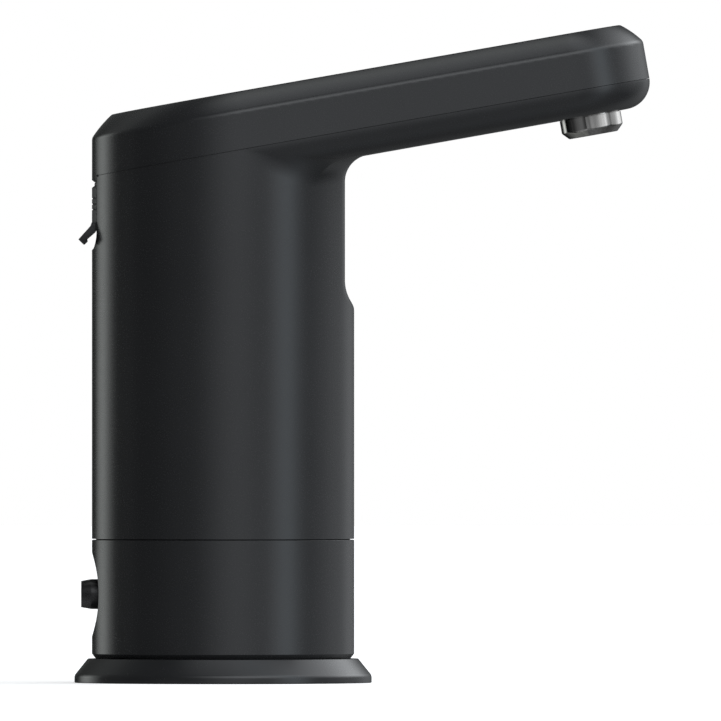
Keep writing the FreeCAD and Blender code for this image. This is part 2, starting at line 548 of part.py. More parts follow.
# ---------------------------------------------------------------- write
for name, shape in parts.items():
    shape.exportStep("parts/" + name + ".step")
    bad = [s for s in shape.Solids if not s.isValid()]
    bb = shape.BoundBox
    print("%-20s solids %2d valid %s vol %9.1f  x %.1f %.1f y %.1f %.1f z %.1f %.1f" % (
        name, len(shape.Solids), not bad, shape.Volume, bb.XMin, bb.XMax, bb.YMin, bb.YMax, bb.ZMin, bb.ZMax))
print(len(parts), "parts")
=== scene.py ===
import json
import math

import bmesh
import bpy
import numpy as np
from mathutils import Matrix, Vector


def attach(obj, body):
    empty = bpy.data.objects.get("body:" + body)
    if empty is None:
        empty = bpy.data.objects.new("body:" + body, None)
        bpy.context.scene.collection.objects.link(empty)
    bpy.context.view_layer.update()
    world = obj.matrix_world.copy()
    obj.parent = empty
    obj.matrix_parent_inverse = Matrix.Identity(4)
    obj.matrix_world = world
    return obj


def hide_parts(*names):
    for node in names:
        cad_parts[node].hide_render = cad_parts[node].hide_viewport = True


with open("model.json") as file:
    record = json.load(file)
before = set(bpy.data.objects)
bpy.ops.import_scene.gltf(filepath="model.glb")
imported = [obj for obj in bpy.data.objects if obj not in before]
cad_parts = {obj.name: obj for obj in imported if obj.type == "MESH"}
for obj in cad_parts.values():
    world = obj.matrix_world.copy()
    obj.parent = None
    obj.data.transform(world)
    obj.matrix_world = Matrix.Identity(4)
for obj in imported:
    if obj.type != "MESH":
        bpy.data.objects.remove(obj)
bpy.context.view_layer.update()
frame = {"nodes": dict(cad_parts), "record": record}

scene = bpy.context.scene
nodes = frame["nodes"]
MM = 0.001

# ------------------------------------------------------------------ driving shape numbers (mm)
S10, C10, T10 = math.sin(math.radians(10)), math.cos(math.radians(10)), math.tan(math.radians(10))
BODY_R, WALL = 39.0, 2.5
SEAM_Z = 157.7
COVER_W, LOWER_W = 16.9, 8.1
TIP_X, LEAN = 126.8, 0.1763
KS = (39.0 - 26.3) / 100.5
KC = math.sqrt(1.0 - KS * KS)
FLAT_X, FLAT_Z, RUN_R = 36.26, 119.8, 12.2
ROOT_R, UNDER_R = 8.0, 8.1
BODY_Z0 = 42.85
AER_U = 109.4
HINGE = (-38.15, 0.0, 148.9)


def seam(u, y, w):
    return (u * C10 - w * S10, y, SEAM_Z + u * S10 + w * C10)


# ------------------------------------------------------------------ distance fields (mm)
def w_of(x, z):
    return -x * S10 + (z - SEAM_Z) * C10


def plan_distance(x, y, z):
    """Distance to the tapering plan outline at height z."""
    tip = TIP_X - LEAN * (z - 180.0)
    c = (tip - BODY_R) / (1.0 - KS)
    r = BODY_R - c * KS
    ya = np.abs(y)
    t = x * KC - ya * KS
    big = np.hypot(x, ya) - BODY_R
    side = x * KS + ya * KC - BODY_R
    h = np.hypot(x - c, ya)
    g = (LEAN / (1.0 - KS)) * ((x - c) / np.maximum(h, 1e-6) - KS)
    end = (h - r) / np.sqrt(1.0 + g * g)
    return np.where(t < 0, big, np.where(t > c * KC, end, side))


def smooth_max(a, b, k):
    h = np.maximum(k - np.abs(a - b), 0.0)
    return np.maximum(a, b) + h * h / (4.0 * k)


def trunk(x, y, z):
    run = RUN_R - np.hypot(x - FLAT_X - RUN_R, z - FLAT_Z)
    cut = np.where(z >= FLAT_Z, x - FLAT_X, np.where(x > FLAT_X + RUN_R, 0.0, run))
    return smooth_max(np.hypot(x, y) - BODY_R, cut, 0.9)


def bull(x, y, z):
    q1 = plan_distance(x, y, z) + UNDER_R
    q2 = -w_of(x, z)
    return (np.minimum(np.maximum(q1, q2), 0.0)
            + np.hypot(np.maximum(q1, 0.0), np.maximum(q2, 0.0)) - UNDER_R)


def grad(f, x, y, z, h=0.01):
    gx = (f(x + h, y, z) - f(x - h, y, z)) / (2 * h)
    gy = (f(x, y + h, z) - f(x, y - h, z)) / (2 * h)
    gz = (f(x, y, z + h) - f(x, y, z - h)) / (2 * h)
    return np.stack([gx, gy, gz], -1)


def rolling(fa, fb, radius, x, y, z):
    """Union of two fields with a rolling-ball fillet of the stated radius."""
    a, b = fa(x, y, z), fb(x, y, z)
    d = np.minimum(a, b)
    zone = (a < radius) & (b < radius) & (np.abs(a) + np.abs(b) < 4 * radius) & (np.maximum(a, b) > -3.0)
    if np.any(zone):
        xs, ys, zs = x[zone], y[zone], z[zone]
        ga, gb = grad(fa, xs, ys, zs), grad(fb, xs, ys, zs)
        ga /= np.maximum(np.linalg.norm(ga, axis=-1, keepdims=True), 1e-9)
        gb /= np.maximum(np.linalg.norm(gb, axis=-1, keepdims=True), 1e-9)
        cs = np.clip(np.sum(ga * gb, -1), -1.0, 1.0)
        ra, rb = radius - a[zone], radius - b[zone]
        sn2 = 1.0 - cs * cs
        ok = (ra - rb * cs > 0) & (rb - ra * cs > 0) & (sn2 > 1e-5)
        q = np.maximum(ra * ra + rb * rb - 2 * ra * rb * cs, 0.0) / np.maximum(sn2, 1e-5)
        dz = d[zone]
        d[zone] = np.where(ok, radius - np.sqrt(q), dz)
    return d


def body_field(x, y, z):
    return rolling(trunk, bull, ROOT_R, x, y, z)


def neg(f):
    return lambda x, y, z: -f(x, y, z)


BEV_A, BEV_B = 5.90, 5.90
BEV_R = 27.0


def cover_wall(x, y, z):
    return plan_distance(x, y, z)


def cover_top(x, y, z):
    return w_of(x, z) - COVER_W


def cover_bevel(x, y, z):
    """Slightly convex bevel between the wall and the flat top, as a large arc across them."""
    a = plan_distance(x, y, z)
    b = w_of(x, z) - COVER_W
    inset = BEV_A
    chord = np.hypot(inset, BEV_B)
    nx, nb = BEV_B / chord, inset / chord
    sag = np.sqrt(BEV_R ** 2 - chord ** 2 / 4)
    ca, cb = -inset / 2 - nx * sag, -BEV_B / 2 - nb * sag
    return np.hypot(a - ca, b - cb) - BEV_R


def cover_upper(x, y, z):
    return -rolling(neg(cover_top), neg(cover_bevel), 0.8, x, y, z)


def cover_field(x, y, z):
    return -rolling(neg(cover_upper), neg(cover_wall), 2.1, x, y, z)


# ------------------------------------------------------------------ meshing
def surface_net(f, low, high, h, shift=0.0):
    """A quad mesh of the surface f = shift, its points pulled onto the surface."""
    n = [int(math.ceil((b - a) / h)) + 1 for a, b in zip(low, high)]
    ax = [low[i] + h * np.arange(n[i]) for i in range(3)]
    field = np.empty(n, np.float64)
    for i0 in range(0, n[0], 24):
        g = np.meshgrid(ax[0][i0:i0 + 24], ax[1], ax[2], indexing="ij")
        field[i0:i0 + 24] = f(*g) - shift
    inside = field < 0
    c = np.zeros([m - 1 for m in n], np.int8)
    for dx in (0, 1):
        for dy in (0, 1):
            for dz in (0, 1):
                c += inside[dx:n[0] - 1 + dx, dy:n[1] - 1 + dy, dz:n[2] - 1 + dz]
    cells = np.argwhere((c > 0) & (c < 8))
    index = -np.ones(c.shape, np.int64)
    index[tuple(cells.T)] = np.arange(len(cells))
    total = np.zeros((len(cells), 3))
    count = np.zeros(len(cells))
    for axis in range(3):
        for o1 in (0, 1):
            for o2 in (0, 1):
                off = [0, 0, 0]
                others = [k for k in range(3) if k != axis]
                off[others[0]], off[others[1]] = o1, o2
                p0 = cells + off
                p1 = p0.copy()
                p1[:, axis] += 1
                f0, f1 = field[tuple(p0.T)], field[tuple(p1.T)]
                crossed = (f0 < 0) != (f1 < 0)
                t = np.where(crossed, f0 / np.where(crossed, f0 - f1, 1.0), 0.0)
                q = p0.astype(float)
                q[:, axis] += t
                total += np.where(crossed[:, None], q, 0.0)
                count += crossed
    verts = np.array(low) + h * total / np.maximum(count, 1)[:, None]
    quads = []
    for axis in range(3):
        o1, o2 = [k for k in range(3) if k != axis]
        a0 = [slice(None)] * 3
        a1 = [slice(None)] * 3
        a0[axis], a1[axis] = slice(0, -1), slice(1, None)
        change = inside[tuple(a0)] != inside[tuple(a1)]
        at = np.argwhere(change)
        at = at[(at[:, o1] > 0) & (at[:, o2] > 0) & (at[:, o1] < n[o1] - 1) & (at[:, o2] < n[o2] - 1)]
        was_in = inside[tuple(at.T)]
        four = []
        for d1, d2 in ((-1, -1), (0, -1), (0, 0), (-1, 0)):
            q = at.copy()
            q[:, o1] += d1
            q[:, o2] += d2
            four.append(index[tuple(q.T)])
        four = np.stack(four, -1)
        flip = was_in if axis != 1 else ~was_in
        four[~flip] = four[~flip][:, ::-1]
        quads.append(four)
    quads = np.concatenate(quads)
    for _ in range(3):
        x, y, z = verts.T
        value = f(x, y, z) - shift
        g = grad(f, x, y, z)
        g2 = np.maximum(np.sum(g * g, -1), 0.05)
        step = np.clip(value / g2, -0.5 * h, 0.5 * h)
        verts -= g * step[:, None]
    return verts, quads


def make_mesh(name, verts, faces):
    me = bpy.data.meshes.new(name)
    me.from_pydata([tuple(v) for v in np.asarray(verts, float) * MM], [], [tuple(int(i) for i in f) for f in faces])
    me.validate()
    me.update()
    ob = bpy.data.objects.new(name, me)
    scene.collection.objects.link(ob)
    return ob


def fast_mesh(name, verts, quads):
    me = bpy.data.meshes.new(name)
    nv, nf = len(verts), len(quads)
    me.vertices.add(nv)
    me.vertices.foreach_set("co", (np.asarray(verts) * MM).astype(np.float32).ravel())
    me.loops.add(nf * 4)
    me.loops.foreach_set("vertex_index", quads.astype(np.int32).ravel())
    me.polygons.add(nf)
    me.polygons.foreach_set("loop_start", (np.arange(nf) * 4).astype(np.int32))
    me.polygons.foreach_set("loop_total", np.full(nf, 4, np.int32))
    me.update(calc_edges=True)
    me.validate()
    ob = bpy.data.objects.new(name, me)
    scene.collection.objects.link(ob)
    return ob


def lathe(name, points, segments=128, axis=None, at=(0, 0, 0), phase=0.0):
    """Closed outline of (radius, height) pairs revolved about Z, then placed by a matrix."""
    bm = bmesh.new()
    rings = []
    for r, h in points:
        if r < 1e-6:
            rings.append([bm.verts.new((0, 0, h * MM))])
        else:
            rings.append([bm.verts.new((r * MM * math.cos(phase + 2 * math.pi * k / segments),
                                        r * MM * math.sin(phase + 2 * math.pi * k / segments), h * MM))
                          for k in range(segments)])
    m = len(points)
    for i in range(m):
        a, b = rings[i], rings[(i + 1) % m]
        for k in range(segments):
            k2 = (k + 1) % segments
            if len(a) == 1 and len(b) == 1:
                continue
            if len(a) == 1:
                bm.faces.new((a[0], b[k2], b[k]))
            elif len(b) == 1:
                bm.faces.new((a[k], a[k2], b[0]))
            else:
                bm.faces.new((a[k], a[k2], b[k2], b[k]))
    bmesh.ops.recalc_face_normals(bm, faces=bm.faces)
    me = bpy.data.meshes.new(name)
    bm.to_mesh(me)
    bm.free()
    if axis is not None:
        rot = Vector((0, 0, 1)).rotation_difference(Vector(axis)).to_matrix().to_4x4()
        me.transform(rot)
    me.transform(Matrix.Translation(Vector(at) * MM))
    ob = bpy.data.objects.new(name, me)
    scene.collection.objects.link(ob)
    return ob


def prism(name, outline, direction, length):
    """Closed outline of 3-D points swept along a direction."""
    n = len(outline)
    d = Vector(direction).normalized() * length
    pts = [Vector(p) for p in outline] + [Vector(p) + d for p in outline]
    faces = [tuple(range(n)), tuple(range(2 * n - 1, n - 1, -1))]
    faces += [(i, i + n, (i + 1) % n + n, (i + 1) % n) for i in range(n)]
    ob = make_mesh(name, [tuple(p) for p in pts], faces)
    bm = bmesh.new()
    bm.from_mesh(ob.data)
    bmesh.ops.recalc_face_normals(bm, faces=bm.faces)
    bm.to_mesh(ob.data)
    bm.free()
    return ob


def block(name, x0, x1, y0, y1, z0, z1):
    return prism(name, [(x0, y0, z0), (x1, y0, z0), (x1, y1, z0), (x0, y1, z0)], (0, 0, 1), z1 - z0)


def stadium_prism(name, wy, hz, zc, x0, x1, n=20):
    r = hz / 2.0
    s = wy / 2.0 - r
    pts = [(x0, s + r * math.sin(a), zc + r * math.cos(a)) for a in np.linspace(0, math.pi, n)]
    pts += [(x0, -s - r * math.sin(a), zc - r * math.cos(a)) for a in np.linspace(0, math.pi, n)]
    return prism(name, pts, (1, 0, 0), x1 - x0)


def tongue_prism(name, half, z0, z1, corner, x0, x1, n=12):
    pts = [(x0, -half, z1)]
    pts += [(x0, -half + corner - corner * math.cos(a), z0 + corner - corner * math.sin(a))
            for a in np.linspace(0, math.pi / 2, n)]
    pts += [(x0, half - corner + corner * math.sin(a), z0 + corner - corner * math.cos(a))
            for a in np.linspace(0, math.pi / 2, n)]
    pts += [(x0, half, z1)]
    return prism(name, pts, (1, 0, 0), x1 - x0)


def boolean(ob, tool, op="DIFFERENCE", solver="MANIFOLD", keep=False):
    m = ob.modifiers.new("cut", "BOOLEAN")
    m.operation, m.object = op, tool
    m.solver = solver
    dg = bpy.context.evaluated_depsgraph_get()
    me = bpy.data.meshes.new_from_object(ob.evaluated_get(dg))
    ob.modifiers.clear()
    old = ob.data
    ob.data = me
    bpy.data.meshes.remove(old)
    if not keep:
        data = tool.data
        bpy.data.objects.remove(tool)
        bpy.data.meshes.remove(data)
    return ob


def tidy(ob, dist=0.004):
    bm = bmesh.new()
    bm.from_mesh(ob.data)
    bmesh.ops.remove_doubles(bm, verts=bm.verts, dist=dist * MM)
    bmesh.ops.dissolve_degenerate(bm, dist=0.002 * MM, edges=bm.edges)
    bm.to_mesh(ob.data)
    bm.free()


def field_normals(ob, f, tol=0.03, cos_limit=0.86, sharp_deg=24.0):
    """Shading normals: the field's own where a face lies on it, the face's or its smooth group's elsewhere."""
    me = ob.data
    me.update()
    nl, nv, nf = len(me.loops), len(me.vertices), len(me.polygons)
    co = np.empty(nv * 3, np.float32)
    me.vertices.foreach_get("co", co)
    co = co.reshape(-1, 3).astype(np.float64) / MM
    fn = np.empty(nf * 3, np.float32)
    me.polygons.foreach_get("normal", fn)
    fn = fn.reshape(-1, 3)
    start = np.empty(nf, np.int32)
    count = np.empty(nf, np.int32)
    me.polygons.foreach_get("loop_start", start)
    me.polygons.foreach_get("loop_total", count)
    lv = np.empty(nl, np.int32)
    me.loops.foreach_get("vertex_index", lv)
    face_of = np.repeat(np.arange(nf), count)
    value = f(co[:, 0], co[:, 1], co[:, 2])
    g = grad(f, co[:, 0], co[:, 1], co[:, 2])
    g /= np.maximum(np.linalg.norm(g, axis=-1, keepdims=True), 1e-9)
    gl = g[lv]
    on = (np.abs(value[lv]) < tol) & (np.sum(gl * fn[face_of], -1) > cos_limit)
    me.polygons.foreach_set("use_smooth", np.ones(nf, bool))
    mark_sharp(me, sharp_deg)
    base = np.empty(nl * 3, np.float32)
    me.corner_normals.foreach_get("vector", base)
    base = base.reshape(-1, 3)
    normals = np.where(on[:, None], gl, base)
    me.normals_split_custom_set([tuple(v) for v in normals])


def mark_sharp(me, deg):
    bm = bmesh.new()
    bm.from_mesh(me)
    lim = math.radians(deg)
    for e in bm.edges:
        e.smooth = len(e.link_faces) == 2 and e.calc_face_angle(0.0) < lim
    for fc in bm.faces:
        fc.smooth = True
    bm.to_mesh(me)
    bm.free()


# ------------------------------------------------------------------ camera
cam_data = bpy.data.cameras.new("camera")
cam_data.lens = 1600.0
cam_data.sensor_width = 36.0
cam = bpy.data.objects.new("camera", cam_data)
scene.collection.objects.link(cam)
cam.location = (0.04088, -0.011 - 0.2142 * 1600.0 / 36.0, 0.09587)
cam.rotation_euler = (math.radians(90), 0, 0)
cam_data.clip_start, cam_data.clip_end = 0.1, 40.0
scene.camera = cam


# ------------------------------------------------------------------ materials
def principled(name):
    m = bpy.data.materials.new(name)
    m.use_nodes = True
    nt = m.node_tree
    nt.nodes.clear()
    out = nt.nodes.new("ShaderNodeOutputMaterial")
    p = nt.nodes.new("ShaderNodeBsdfPrincipled")
    nt.links.new(p.outputs[0], out.inputs[0])
    return m, nt, p


def noise(nt, coords, scale, detail=2.0, rough=0.5, stretch=None):
    n = nt.nodes.new("ShaderNodeTexNoise")
    n.inputs["Scale"].default_value = scale
    n.inputs["Detail"].default_value = detail
    n.inputs["Roughness"].default_value = rough
    if stretch is not None:
        mp = nt.nodes.new("ShaderNodeMapping")
        mp.inputs["Scale"].default_value = stretch
        nt.links.new(coords, mp.inputs["Vector"])
        coords = mp.outputs[0]
    nt.links.new(coords, n.inputs["Vector"])
    return n.outputs["Fac"]


def remap(nt, value, lo, hi, a=0.35, b=0.65):
    m = nt.nodes.new("ShaderNodeMapRange")
    m.inputs["From Min"].default_value = a
    m.inputs["From Max"].default_value = b
    m.inputs["To Min"].default_value = lo
    m.inputs["To Max"].default_value = hi
    nt.links.new(value, m.inputs["Value"])
    return m.outputs[0]


def moulded(name, colour, rough, vary=0.12, grain=0.16, bump=0.010, spec=0.5, blotch=0.03, seed=0.0):
    """Moulded plastic: fine eroded grain, faint tone and gloss drift."""
    m, nt, p = principled(name)
    tc = nt.nodes.new("ShaderNodeTexCoord")
    co = tc.outputs["Object"]
    fine = noise(nt, co, 1000.0 / grain / 2.2, 2.0, 0.6)
    slow = noise(nt, co, 22.0 + seed, 3.0, 0.55)
    mid = noise(nt, co, 210.0 + seed, 2.0, 0.5)
    mix = nt.nodes.new("ShaderNodeMix")
    mix.data_type = "RGBA"
    mix.inputs[6].default_value = (*[c * (1 - vary) for c in colour], 1)
    mix.inputs[7].default_value = (*[c * (1 + vary) for c in colour], 1)
    nt.links.new(remap(nt, slow, 0.0, 1.0), mix.inputs[0])
    nt.links.new(mix.outputs[2], p.inputs["Base Color"])
    add = nt.nodes.new("ShaderNodeMath")
    add.operation = "ADD"
    nt.links.new(remap(nt, fine, rough - 0.03, rough + 0.03), add.inputs[0])
    nt.links.new(remap(nt, mid, -blotch, blotch), add.inputs[1])
    nt.links.new(add.outputs[0], p.inputs["Roughness"])
    p.inputs["Specular IOR Level"].default_value = spec
    b = nt.nodes.new("ShaderNodeBump")
    b.inputs["Strength"].default_value = 1.0
    b.inputs["Distance"].default_value = bump * MM
    nt.links.new(fine, b.inputs["Height"])
    nt.links.new(b.outputs[0], p.inputs["Normal"])
    return m


def metal(name, colour, rough, vary=0.06, bump=0.004, scale=900.0, stretch=(1, 1, 1)):
    m, nt, p = principled(name)
    tc = nt.nodes.new("ShaderNodeTexCoord")
    co = tc.outputs["Object"]
    fine = noise(nt, co, scale, 2.0, 0.5, stretch)
    slow = noise(nt, co, 60.0, 2.0, 0.5)
    mix = nt.nodes.new("ShaderNodeMix")
    mix.data_type = "RGBA"
    mix.inputs[6].default_value = (*[c * (1 - vary) for c in colour], 1)
    mix.inputs[7].default_value = (*[min(1.0, c * (1 + vary)) for c in colour], 1)
    nt.links.new(remap(nt, slow, 0.0, 1.0), mix.inputs[0])
    nt.links.new(mix.outputs[2], p.inputs["Base Color"])
    nt.links.new(remap(nt, fine, rough * 0.8, rough * 1.25), p.inputs["Roughness"])
    p.inputs["Metallic"].default_value = 1.0
    b = nt.nodes.new("ShaderNodeBump")
    b.inputs["Strength"].default_value = 1.0
    b.inputs["Distance"].default_value = bump * MM
    nt.links.new(fine, b.inputs["Height"])
    nt.links.new(b.outputs[0], p.inputs["Normal"])
    return m


def turned(name, colour, rough):
    """Faced steel plate: fine rings about the Z axis, no two equally bright."""
    m, nt, p = principled(name)
    tc = nt.nodes.new("ShaderNodeTexCoord")
    flat = nt.nodes.new("ShaderNodeVectorMath")
    flat.operation = "MULTIPLY"
    flat.inputs[1].default_value = (1.0, 1.0, 0.0)
    nt.links.new(tc.outputs["Object"], flat.inputs[0])
    size = nt.nodes.new("ShaderNodeVectorMath")
    size.operation = "LENGTH"
    nt.links.new(flat.outputs[0], size.inputs[0])
    ring = nt.nodes.new("ShaderNodeCombineXYZ")
    nt.links.new(size.outputs["Value"], ring.inputs[0])
    fine = noise(nt, ring.outputs[0], 2600.0, 2.0, 0.6)
    wide = noise(nt, ring.outputs[0], 1100.0, 3.0, 0.6)
    slow = noise(nt, tc.outputs["Object"], 45.0, 2.0, 0.5)
    mix = nt.nodes.new("ShaderNodeMix")
    mix.data_type = "RGBA"
    mix.inputs[6].default_value = (*[c * 0.9 for c in colour], 1)
    mix.inputs[7].default_value = (*[c * 1.08 for c in colour], 1)
    nt.links.new(remap(nt, wide, 0.0, 1.0), mix.inputs[0])
    nt.links.new(mix.outputs[2], p.inputs["Base Color"])
    add = nt.nodes.new("ShaderNodeMath")
    add.operation = "ADD"
    nt.links.new(remap(nt, fine, rough - 0.05, rough + 0.05), add.inputs[0])
    nt.links.new(remap(nt, slow, -0.02, 0.02), add.inputs[1])
    nt.links.new(add.outputs[0], p.inputs["Roughness"])
    p.inputs["Metallic"].default_value = 1.0
    return m


def machined_painted_sheen(name, dark, light, rough):
    """Plated brass with milled faces, brushed along the axis; each face carries a painted reflection that brightens
    towards one edge, and the down-facing cone a painted darker shade.
    """
    m, nt, p = principled(name)
    tc = nt.nodes.new("ShaderNodeTexCoord")
    sub = nt.nodes.new("ShaderNodeVectorMath")
    sub.operation = "SUBTRACT"
    sub.inputs[1].default_value = [v * MM for v in seam(AER_U, 0, 0)]
    nt.links.new(tc.outputs["Object"], sub.inputs[0])
    axes = []
    for direction in ((C10, 0, S10), (0, 1, 0), (-S10, 0, C10)):
        d = nt.nodes.new("ShaderNodeVectorMath")
        d.operation = "DOT_PRODUCT"
        d.inputs[1].default_value = direction
        nt.links.new(sub.outputs[0], d.inputs[0])
        axes.append(d.outputs["Value"])

    def math_node(op, a, b=None):
        n = nt.nodes.new("ShaderNodeMath")
        n.operation = op
        for k, v in enumerate((a, b)):
            if v is None:
                continue
            if isinstance(v, (int, float)):
                n.inputs[k].default_value = v
            else:
                nt.links.new(v, n.inputs[k])
        return n.outputs[0]

    # painted reflection: each facet's colour is set by its angle around the axis, dark at one edge and bright near the
    # other, standing in for the studio light the facets mirror
    angle = math_node("ARCTAN2", axes[0], math_node("MULTIPLY", axes[1], -1.0))
    part = math_node("FRACT", math_node("DIVIDE", math_node("SUBTRACT", angle, math.radians(FACET_0)), math.pi / 4))
    face = nt.nodes.new("ShaderNodeFloatCurve")
    c = face.mapping.curves[0]
    points = [(0.0, 0.16), (0.08, 0.17), (0.20, 0.25), (0.42, 0.31), (0.52, 0.48), (0.62, 0.85), (0.80, 1.0), (0.88, 0.62), (0.95, 0.24), (1.0, 0.16)]
    while len(c.points) < len(points):
        c.points.new(0.5, 0.5)
    for q, (px, py) in zip(c.points, points):
        q.location = (px, py)
        q.handle_type = "AUTO_CLAMPED"
    face.mapping.update()
    nt.links.new(part, face.inputs["Value"])
    comb = nt.nodes.new("ShaderNodeCombineXYZ")
    nt.links.new(axes[0], comb.inputs[0])
    nt.links.new(axes[1], comb.inputs[1])
    nt.links.new(math_node("MULTIPLY", axes[2], 0.03), comb.inputs[2])
    lines = noise(nt, comb.outputs[0], 1500.0, 2.0, 0.6)
    mottle = noise(nt, tc.outputs["Object"], 120.0, 2.0, 0.5)
    # painted shade: faces that turn downward, the coned lower edge and the end, get a fixed darker tone instead of the
    # facet reflection
    down_facing_shade_mask = nt.nodes.new("ShaderNodeVectorMath")
    down_facing_shade_mask.operation = "DOT_PRODUCT"
    down_facing_shade_mask.inputs[1].default_value = (S10, 0, -C10)
    nt.links.new(tc.outputs["Normal"], down_facing_shade_mask.inputs[0])
    coned = remap(nt, down_facing_shade_mask.outputs["Value"], 0.0, 1.0, 0.08, 0.30)
    painted_sheen_and_shade = nt.nodes.new("ShaderNodeMix")
    painted_sheen_and_shade.data_type = "FLOAT"
    nt.links.new(coned, painted_sheen_and_shade.inputs[0])
    nt.links.new(face.outputs[0], painted_sheen_and_shade.inputs[2])
    painted_sheen_and_shade.inputs[3].default_value = 0.30
    # painted sheen and shade plus real brushing lines and mottle make up the colour mix
    tone = math_node("ADD", painted_sheen_and_shade.outputs[0], remap(nt, lines, -0.08, 0.08))
    tone = math_node("ADD", tone, remap(nt, mottle, -0.03, 0.03))
    mix = nt.nodes.new("ShaderNodeMix")
    mix.data_type = "RGBA"
    mix.inputs[6].default_value = (*dark, 1)
    mix.inputs[7].default_value = (*light, 1)
    nt.links.new(tone, mix.inputs[0])
    nt.links.new(mix.outputs[2], p.inputs["Base Color"])
    nt.links.new(remap(nt, lines, rough * 0.75, rough * 1.3), p.inputs["Roughness"])
    p.inputs["Metallic"].default_value = 1.0
    b = nt.nodes.new("ShaderNodeBump")
    b.inputs["Strength"].default_value = 1.0
    b.inputs["Distance"].default_value = 0.003 * MM
    nt.links.new(lines, b.inputs["Height"])
    nt.links.new(b.outputs[0], p.inputs["Normal"])
    return m


FACET_0 = -10.0
mats = {
    "body_black": moulded("body_black", (0.0268, 0.0273, 0.0284), 0.25, vary=0.05, blotch=0.006, bump=0.006),
    "base_black": moulded("base_black", (0.0270, 0.0275, 0.0286), 0.24, vary=0.05, blotch=0.006, bump=0.006, seed=5.0),
    "seal_rubber": moulded("seal_rubber", (0.006, 0.006, 0.006), 0.85, bump=0.012, spec=0.12, seed=11.0),
    "pad_rubber": moulded("pad_rubber", (0.020, 0.020, 0.020), 0.70, bump=0.02, seed=3.0),
    "flap_rubber": moulded("flap_rubber", (0.025, 0.025, 0.026), 0.50, bump=0.012, seed=7.0),
    "plate_steel": turned("plate_steel", (0.27, 0.275, 0.28), 0.40),
    "magnet_nickel": metal("magnet_nickel", (0.62, 0.61, 0.58), 0.28),
    # aerator colours: 0.072 is the painted shaded end and 0.84 the painted highlight end of each facet's reflection
    "aerator_metal": machined_painted_sheen("aerator_metal", (0.072, 0.070, 0.067), (0.84, 0.818, 0.79), 0.16),
    "insert_plastic": moulded("insert_plastic", (0.52, 0.54, 0.56), 0.42),
    "pump_plastic": moulded("pump_plastic", (0.62, 0.62, 0.58), 0.45),
    "gear_resin": moulded("gear_resin", (0.78, 0.77, 0.72), 0.35, vary=0.04),
    "motor_steel": metal("motor_steel", (0.55, 0.55, 0.55), 0.30),
    "ferrite": moulded("ferrite", (0.05, 0.05, 0.055), 0.62),
    "rotor_copper": metal("rotor_copper", (0.62, 0.36, 0.22), 0.36),
    "screw_steel": metal("screw_steel", (0.50, 0.50, 0.52), 0.30),
    "silicone": moulded("silicone", (0.62, 0.62, 0.60), 0.32, vary=0.04),
    "board_green": moulded("board_green", (0.02, 0.12, 0.05), 0.30),
    "cell_wrap": moulded("cell_wrap", (0.03, 0.10, 0.30), 0.28),
    "cradle_plastic": moulded("cradle_plastic", (0.05, 0.05, 0.055), 0.48),
    "wire_cover": moulded("wire_cover", (0.32, 0.02, 0.015), 0.35),
    "spigot_plastic": moulded("spigot_plastic", (0.020, 0.020, 0.021), 0.30, bump=0.004),
}


def dress(ob, slot):
    ob.data.materials.clear()
    ob.data.materials.append(mats[slot])


for row in frame["record"]["subparts"]:
    dress(nodes[row["node"]], row["material_slot"])

# ------------------------------------------------------------------ upper body and top cover
step = 0.66
body_box = ((-41, -41, 36), (132, 41, 190))
cover_box = ((-41, -41, 140), (132, 41, 198))


def body_closed(x, y, z):
    return np.maximum(np.maximum(body_field(x, y, z), w_of(x, z) - 3.0), 38.0 - z)


def body_hollow(x, y, z):
    return np.maximum(np.maximum(body_field(x, y, z) + WALL, w_of(x, z) - 6.0), 37.0 - z)


def cover_closed(x, y, z):
    return np.maximum(cover_field(x, y, z), -3.0 - w_of(x, z))


def cover_hollow(x, y, z):
    return np.maximum(cover_field(x, y, z) + WALL, -6.0 - w_of(x, z))


bv, bq = surface_net(body_closed, *body_box, step)
upper = fast_mesh("upper_body_skin", bv, bq)
cv, cq = surface_net(cover_closed, *cover_box, step)
cap = fast_mesh("top_cover_skin", cv, cq)


def half_space_box(name, w0, w1):
    pts = [seam(-90, -70, w0), seam(190, -70, w0), seam(190, 70, w0), seam(-90, 70, w0)]
    return prism(name, pts, (-S10, 0, C10), w1 - w0)


def rim_ring(name, d0, d1, w0, w1, n=300):
    """Upright ring that follows the wall at the seam, between two depths inside it."""
    verts, faces = [], []
    for depth, w in ((d0, w0), (d1, w0), (d1, w1), (d0, w1)):
        for k in range(n):
            a = 2 * math.pi * k / n
            lo, hi = 0.0, 110.0
            for _ in range(34):
                t = (lo + hi) / 2
                u, y = 30.0 + t * math.cos(a), t * math.sin(a)
                x, _y, z = seam(u, y, w)
                if float(plan_distance(np.array(x), np.array(y), np.array(z))) < -depth:
                    lo = t
                else:
                    hi = t
            verts.append(seam(30.0 + lo * math.cos(a), lo * math.sin(a), w))
    for i in range(4):
        for k in range(n):
            k2 = (k + 1) % n
            faces.append((i * n + k, i * n + k2, (i + 1) % 4 * n + k2, (i + 1) % 4 * n + k))
    ob = make_mesh(name, verts, faces)
    flip_out(ob)
    return ob


def sector(name, points, a0, a1, n):
    """Closed (radius, height) outline swept about Z from angle a0 to a1, with end caps."""
    verts, faces, m = [], [], len(points)
    for k in range(n + 1):
        a = math.radians(a0 + (a1 - a0) * k / n)
        verts += [(r * math.cos(a), r * math.sin(a), h) for r, h in points]
    for k in range(n):
        for i in range(m):
            i2 = (i + 1) % m
            faces.append((k * m + i, k * m + i2, (k + 1) * m + i2, (k + 1) * m + i))
    faces.append(tuple(range(m - 1, -1, -1)))
    faces.append(tuple(range(n * m, (n + 1) * m)))
    ob = make_mesh(name, verts, faces)
    flip_out(ob)
    return ob


